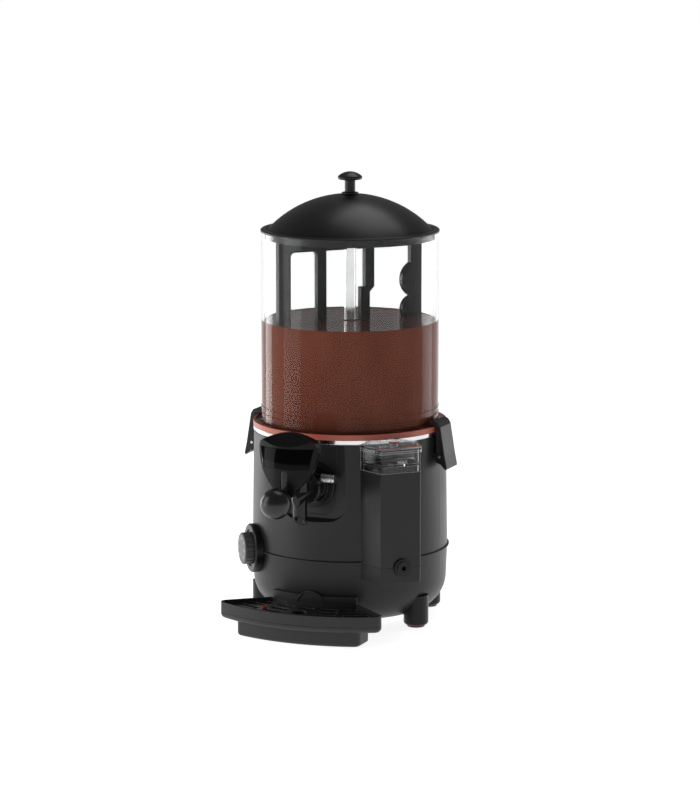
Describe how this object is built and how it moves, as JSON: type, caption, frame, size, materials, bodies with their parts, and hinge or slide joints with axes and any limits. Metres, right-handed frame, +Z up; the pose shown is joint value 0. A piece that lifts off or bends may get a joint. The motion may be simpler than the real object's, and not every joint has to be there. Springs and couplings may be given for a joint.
{
  "type": "hot chocolate dispenser",
  "caption": "Countertop hot chocolate dispenser: a clear drum with a stirrer on a round heated base, with a lever tap, a water filler, a thermostat dial and a drip tray.",
  "frame": {"origin": "on the table, on the drum's axis", "axes": "+Z up along the drum's axis, -Y towards the tap and the user, +X to the user's right"},
  "size_m": [0.2842, 0.3924, 0.58],
  "materials": {
    "housing_black": "satin",
    "glossy_black": "gloss",
    "tap_black": "satin",
    "tray_black": "satin",
    "dial_grey": "satin",
    "clear_plastic": "clear",
    "stirrer_plastic": "satin",
    "steel": "brushed",
    "polished_steel": "polished",
    "red_silicone": "satin",
    "red_plastic": "gloss",
    "pad_rubber": "matte",
    "grey_plastic": "satin"
  },
  "bodies": {
    "base": {"lower_housing": "housing_black", "upper_housing": "housing_black", "base_plate": "steel", "base_screws": "steel", "bath_pan": "steel", "heated_bowl": "polished_steel", "centre_tube": "polished_steel", "outlet_pipe": "steel", "drum": "clear_plastic", "drum_gasket": "red_silicone", "shaft_bush_lower": "grey_plastic", "shaft_bush_upper": "grey_plastic", "tap_flange": "tap_black", "tap_body": "tap_black", "tap_cover": "tap_black", "cover_screw": "steel", "label_window": "glossy_black", "lever_pin": "steel", "valve_spring": "steel", "clamp_stud": "steel", "clamp_nut": "polished_steel", "clip_pin_right": "steel", "clip_pin_left": "steel", "filler_box": "clear_plastic", "water_reservoir": "clear_plastic", "drain_ring": "tap_black", "thermostat_bezel": "tap_black", "thermostat_body": "grey_plastic", "tray_holder": "tray_black", "gear_motor": "steel", "motor_bracket": "steel", "heating_element": "steel", "terminal_block": "grey_plastic", "overheat_cutout": "grey_plastic", "switch_frame": "glossy_black", "cable_gland": "tap_black", "foot_front_left": "tap_black", "foot_front_right": "tap_black", "foot_rear_left": "tap_black", "foot_rear_right": "tap_black", "foot_pads": "pad_rubber"},
    "lid": {"lid": "housing_black", "lid_knob": "housing_black", "lid_screw": "steel"},
    "stirrer": {"drive_shaft": "steel", "stirrer": "stirrer_plastic", "stirrer_cap": "stirrer_plastic"},
    "lever": {"tap_lever": "polished_steel", "ball_knob": "glossy_black"},
    "valve": {"plunger": "grey_plastic", "plunger_seal": "red_silicone"},
    "right_clip": {"clip_right": "housing_black"},
    "left_clip": {"clip_left": "housing_black"},
    "dial": {"thermostat_knob": "dial_grey"},
    "rocker": {"switch_rocker": "glossy_black"},
    "filler_cover": {"filler_lid": "clear_plastic"},
    "plug": {"drain_plug": "tap_black"},
    "tray": {"drip_tray": "tray_black"},
    "grid": {"drip_grid": "tray_black"},
    "float": {"level_float": "red_plastic"}
  },
  "joints": [
    {"name": "lid_lift", "type": "slide", "parent": "base", "child": "lid", "axis": [0, 0, 1], "range_m": [0, 0.1]},
    {"name": "stirrer_turn", "type": "hinge", "parent": "base", "child": "stirrer", "pos_m": [0, 0, 0.25], "axis": [0, 0, 1], "continuous": true},
    {"name": "tap_lever_lift", "type": "hinge", "parent": "base", "child": "lever", "pos_m": [0, -0.144, 0.228], "axis": [-1, 0, 0], "range_deg": [0, 18], "stiffness_Nm_per_rad": 0.2, "springref_deg": -28.65},
    {"name": "valve_lift", "type": "slide", "parent": "base", "child": "valve", "axis": [0, 0, 1], "range_m": [0, 0.0058], "deforming": ["valve_spring"]},
    {"name": "right_clip_swing", "type": "hinge", "parent": "base", "child": "right_clip", "pos_m": [0.1317, 0, 0.2208], "axis": [0, 1, 0], "range_deg": [0, 20], "stiffness_Nm_per_rad": 0.5, "springref_deg": -11.46},
    {"name": "left_clip_swing", "type": "hinge", "parent": "base", "child": "left_clip", "pos_m": [-0.1317, 0, 0.2208], "axis": [0, -1, 0], "range_deg": [0, 20], "stiffness_Nm_per_rad": 0.5, "springref_deg": -11.46},
    {"name": "thermostat_turn", "type": "hinge", "parent": "base", "child": "dial", "pos_m": [0, 0, 0.0949], "axis": [-0.7771, -0.6293, 0], "range_deg": [0, 270]},
    {"name": "switch_rock", "type": "hinge", "parent": "base", "child": "rocker", "pos_m": [-0.05859, 0.11019, 0.07], "axis": [-0.8829, -0.4695, 0], "range_deg": [0, 10]},
    {"name": "filler_lid_lift", "type": "slide", "parent": "base", "child": "filler_cover", "axis": [0, 0, 1], "range_m": [0, 0.03]},
    {"name": "drain_plug_out", "type": "slide", "parent": "base", "child": "plug", "axis": [0.7254, -0.6884, 0], "range_m": [0, 0.015]},
    {"name": "drip_tray_out", "type": "slide", "parent": "base", "child": "tray", "axis": [0, -1, 0], "range_m": [0, 0.1]},
    {"name": "drip_grid_lift", "type": "slide", "parent": "tray", "child": "grid", "axis": [0, 0, 1], "range_m": [0, 0.025]},
    {"name": "level_float_rise", "type": "slide", "parent": "tray", "child": "float", "axis": [0, 0, 1], "range_m": [0, 0.006]}
  ],
  "couplings": [
    {"joint": "valve_lift", "follows": "tap_lever_lift", "m_per_rad": 0.0183}
  ]
}
